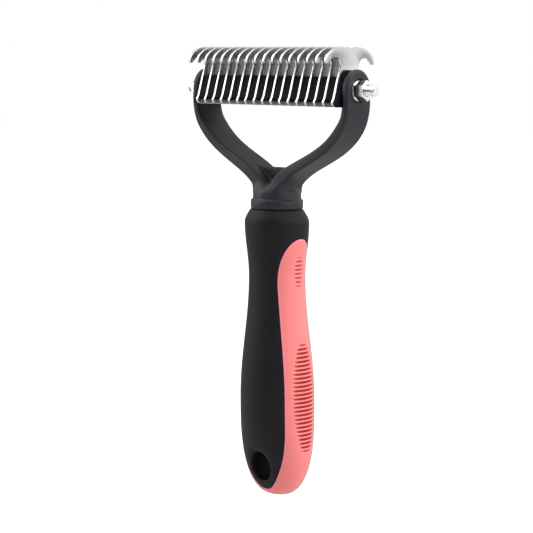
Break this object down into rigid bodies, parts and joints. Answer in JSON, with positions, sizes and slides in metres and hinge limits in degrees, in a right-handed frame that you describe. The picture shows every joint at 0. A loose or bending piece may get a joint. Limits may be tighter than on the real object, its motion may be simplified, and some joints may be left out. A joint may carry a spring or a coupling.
{
  "type": "undercoat rake",
  "caption": "Double-sided grooming rake: hooked steel blades stacked on a threaded rod across a forked yoke, with a two-colour soft-grip handle and a hang hole.",
  "frame": {"origin": "on the rake's long axis in the middle of the handle's length, straight below the middle of the threaded rod", "axes": "+X along the threaded rod, +Y towards the nine-hook side, +Z from the butt of the handle to the blades"},
  "size_m": [0.101, 0.0312, 0.1831],
  "materials": {
    "blade_steel": "fine-ground stainless steel with polished edges",
    "plated_steel": "bright zinc-nickel plating",
    "spacer_black": "moulded, satin",
    "yoke_black": "fine-textured satin moulding",
    "core_black": "plain moulding",
    "soft_black": "soft-touch overmoulding, matte",
    "soft_coral": "soft-touch overmoulding, matte"
  },
  "bodies": {
    "handle_and_yoke": {"yoke": "yoke_black", "handle_core": "core_black", "black_grip": "soft_black", "coral_grip": "soft_coral", "threaded_rod": "plated_steel", "end_spacer_left": "spacer_black", "end_spacer_right": "spacer_black"},
    "blade_pack": {"blade_01": "blade_steel", "blade_02": "blade_steel", "blade_03": "blade_steel", "blade_04": "blade_steel", "blade_05": "blade_steel", "blade_06": "blade_steel", "blade_07": "blade_steel", "blade_08": "blade_steel", "blade_09": "blade_steel", "blade_10": "blade_steel", "blade_11": "blade_steel", "blade_12": "blade_steel", "blade_13": "blade_steel", "blade_14": "blade_steel", "blade_15": "blade_steel", "blade_16": "blade_steel", "blade_17": "blade_steel", "spacer_01": "spacer_black", "spacer_02": "spacer_black", "spacer_03": "spacer_black", "spacer_04": "spacer_black", "spacer_05": "spacer_black", "spacer_06": "spacer_black", "spacer_07": "spacer_black", "spacer_08": "spacer_black", "spacer_09": "spacer_black", "spacer_10": "spacer_black", "spacer_11": "spacer_black", "spacer_12": "spacer_black", "spacer_13": "spacer_black", "spacer_14": "spacer_black", "spacer_15": "spacer_black", "spacer_16": "spacer_black"},
    "washer_left": {"washer_left": "plated_steel"},
    "washer_right": {"washer_right": "plated_steel"},
    "nut_left": {"nut_left": "plated_steel"},
    "nut_right": {"nut_right": "plated_steel"}
  },
  "joints": [
    {"name": "pack_tilt", "type": "hinge", "parent": "handle_and_yoke", "child": "blade_pack", "pos_m": [0, 0, 0.107], "axis": [1, 0, 0], "range_deg": [-90, 90]},
    {"name": "washer_left_slide", "type": "slide", "parent": "handle_and_yoke", "child": "washer_left", "axis": [-1, 0, 0], "range_m": [0, 0.0042]},
    {"name": "nut_left_turn", "type": "hinge", "parent": "washer_left", "child": "nut_left", "pos_m": [-0.0445, 0, 0.107], "axis": [-1, 0, 0], "range_deg": [0, 2160]},
    {"name": "washer_right_slide", "type": "slide", "parent": "handle_and_yoke", "child": "washer_right", "axis": [1, 0, 0], "range_m": [0, 0.0042]},
    {"name": "nut_right_turn", "type": "hinge", "parent": "washer_right", "child": "nut_right", "pos_m": [0.0445, 0, 0.107], "axis": [1, 0, 0], "range_deg": [0, 2160]}
  ],
  "couplings": [
    {"joint": "nut_left_turn", "follows": "washer_left_slide", "rad_per_m": 8976},
    {"joint": "nut_right_turn", "follows": "washer_right_slide", "rad_per_m": 8976}
  ]
}
